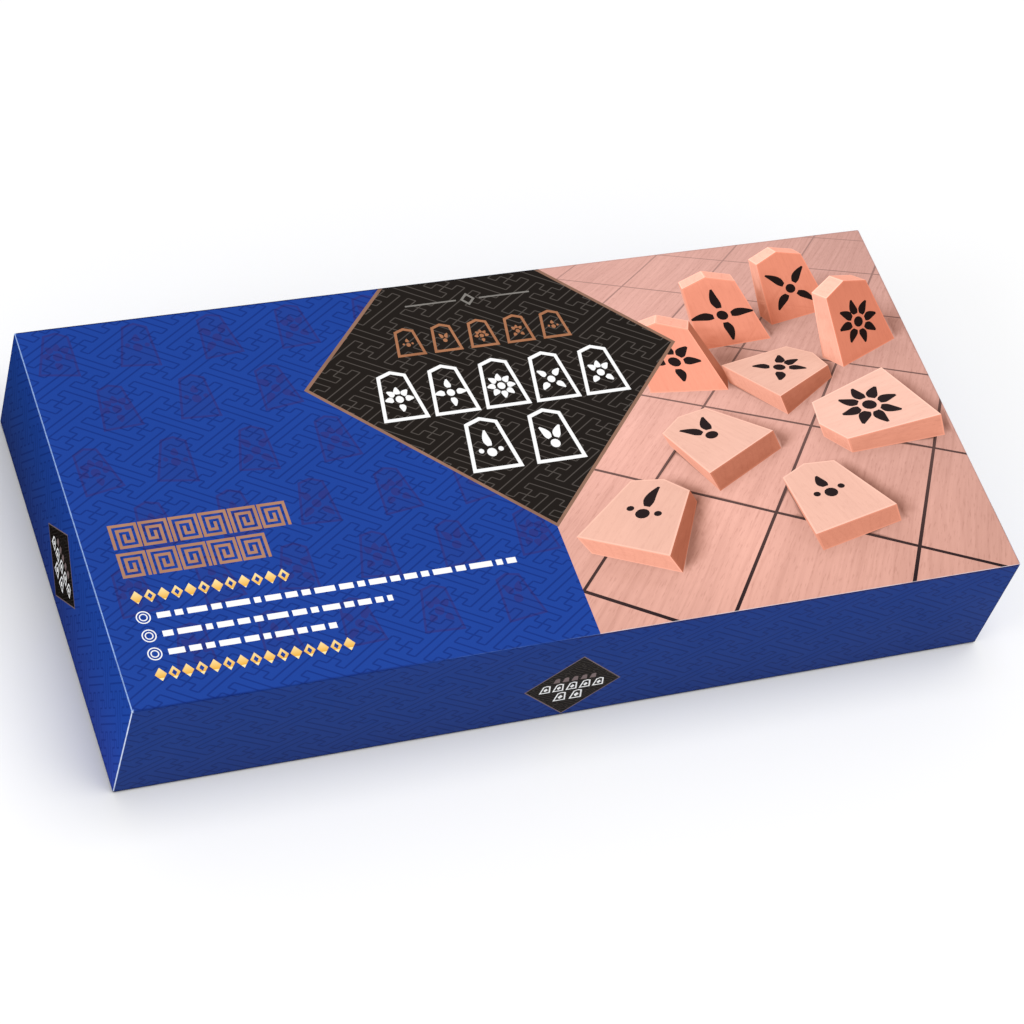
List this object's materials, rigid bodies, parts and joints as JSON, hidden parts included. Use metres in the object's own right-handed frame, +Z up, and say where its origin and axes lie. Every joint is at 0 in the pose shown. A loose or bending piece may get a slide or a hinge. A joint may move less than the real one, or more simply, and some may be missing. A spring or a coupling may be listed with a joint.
{
  "type": "boxed shogi set",
  "caption": "Paperboard gift box with a full-depth lift-off lid, holding a two-fold wooden shogi board, five-sided pieces in a tray, piece stands and a booklet.",
  "frame": {"origin": "centre of the closed box's underside, on the table", "axes": "+X along the length of the box, +Z up, the long face seen in the picture looks towards -Y"},
  "size_m": [0.368, 0.176, 0.057],
  "materials": {
    "printed_paper": "deep blue satin print with a tone-on-tone fret pattern",
    "grey_board": "unprinted grey board",
    "tray_paper": "plain white wrapping paper",
    "insert_board": "folded white-lined board",
    "piece_tray_board": "kraft board",
    "piece_wood": "fine-grained maple with black rank marks",
    "stand_wood": "lacquered laminated softwood",
    "board_wood": "lacquered laminated softwood with printed grid",
    "hinge_cloth": "woven tape",
    "booklet_cover_paper": "coated paper",
    "booklet_page_paper": "uncoated paper",
    "staple_wire": "galvanised wire"
  },
  "bodies": {
    "base": {"base_tray": "grey_board", "base_tray_wrap": "tray_paper", "insert_platform": "insert_board"},
    "lid": {"lid_shell": "grey_board", "lid_printed_wrap": "printed_paper"},
    "booklet": {"booklet_cover": "booklet_cover_paper", "booklet_pages": "booklet_page_paper", "booklet_staples": "staple_wire"},
    "board_upper": {"board_leaf_upper": "board_wood", "board_cloth_hinge": "hinge_cloth"},
    "board_lower": {"board_leaf_lower": "board_wood"},
    "piece_tray": {"piece_tray": "piece_tray_board", "piece_tray_dividers": "piece_tray_board", "kings": "piece_wood", "rooks": "piece_wood", "bishops": "piece_wood", "gold_generals": "piece_wood", "silver_generals": "piece_wood", "knights": "piece_wood", "lances": "piece_wood", "pawns": "piece_wood", "spare_pawns": "piece_wood"},
    "stand_left": {"stand_left_plate": "stand_wood", "stand_left_feet": "stand_wood"},
    "stand_right": {"stand_right_plate": "stand_wood", "stand_right_feet": "stand_wood"}
  },
  "joints": [
    {"name": "lid_lift", "type": "slide", "parent": "base", "child": "lid", "axis": [0, 0, 1], "range_m": [0, 0.7]},
    {"name": "booklet_lift", "type": "slide", "parent": "base", "child": "booklet", "axis": [0, 0, 1], "range_m": [0, 0.59]},
    {"name": "board_lift", "type": "slide", "parent": "base", "child": "board_upper", "axis": [0, 0, 1], "range_m": [0, 0.52]},
    {"name": "board_unfold", "type": "hinge", "parent": "board_upper", "child": "board_lower", "pos_m": [0, 0.07705, 0.0382], "axis": [1, 0, 0], "range_deg": [0, 180]},
    {"name": "piece_tray_lift", "type": "slide", "parent": "base", "child": "piece_tray", "axis": [0, 0, 1], "range_m": [0, 0.062]},
    {"name": "stand_left_lift", "type": "slide", "parent": "base", "child": "stand_left", "axis": [0, 0, 1], "range_m": [0, 0.062]},
    {"name": "stand_right_lift", "type": "slide", "parent": "base", "child": "stand_right", "axis": [0, 0, 1], "range_m": [0, 0.062]}
  ],
  "couplings": [
    {"joint": "booklet_lift", "follows": "lid_lift", "ratio": 0.84286},
    {"joint": "board_lift", "follows": "lid_lift", "ratio": 0.74286},
    {"joint": "board_unfold", "follows": "lid_lift", "rad_per_m": 4.488},
    {"joint": "piece_tray_lift", "follows": "lid_lift", "ratio": 0.088571},
    {"joint": "stand_left_lift", "follows": "lid_lift", "ratio": 0.088571},
    {"joint": "stand_right_lift", "follows": "lid_lift", "ratio": 0.088571}
  ]
}
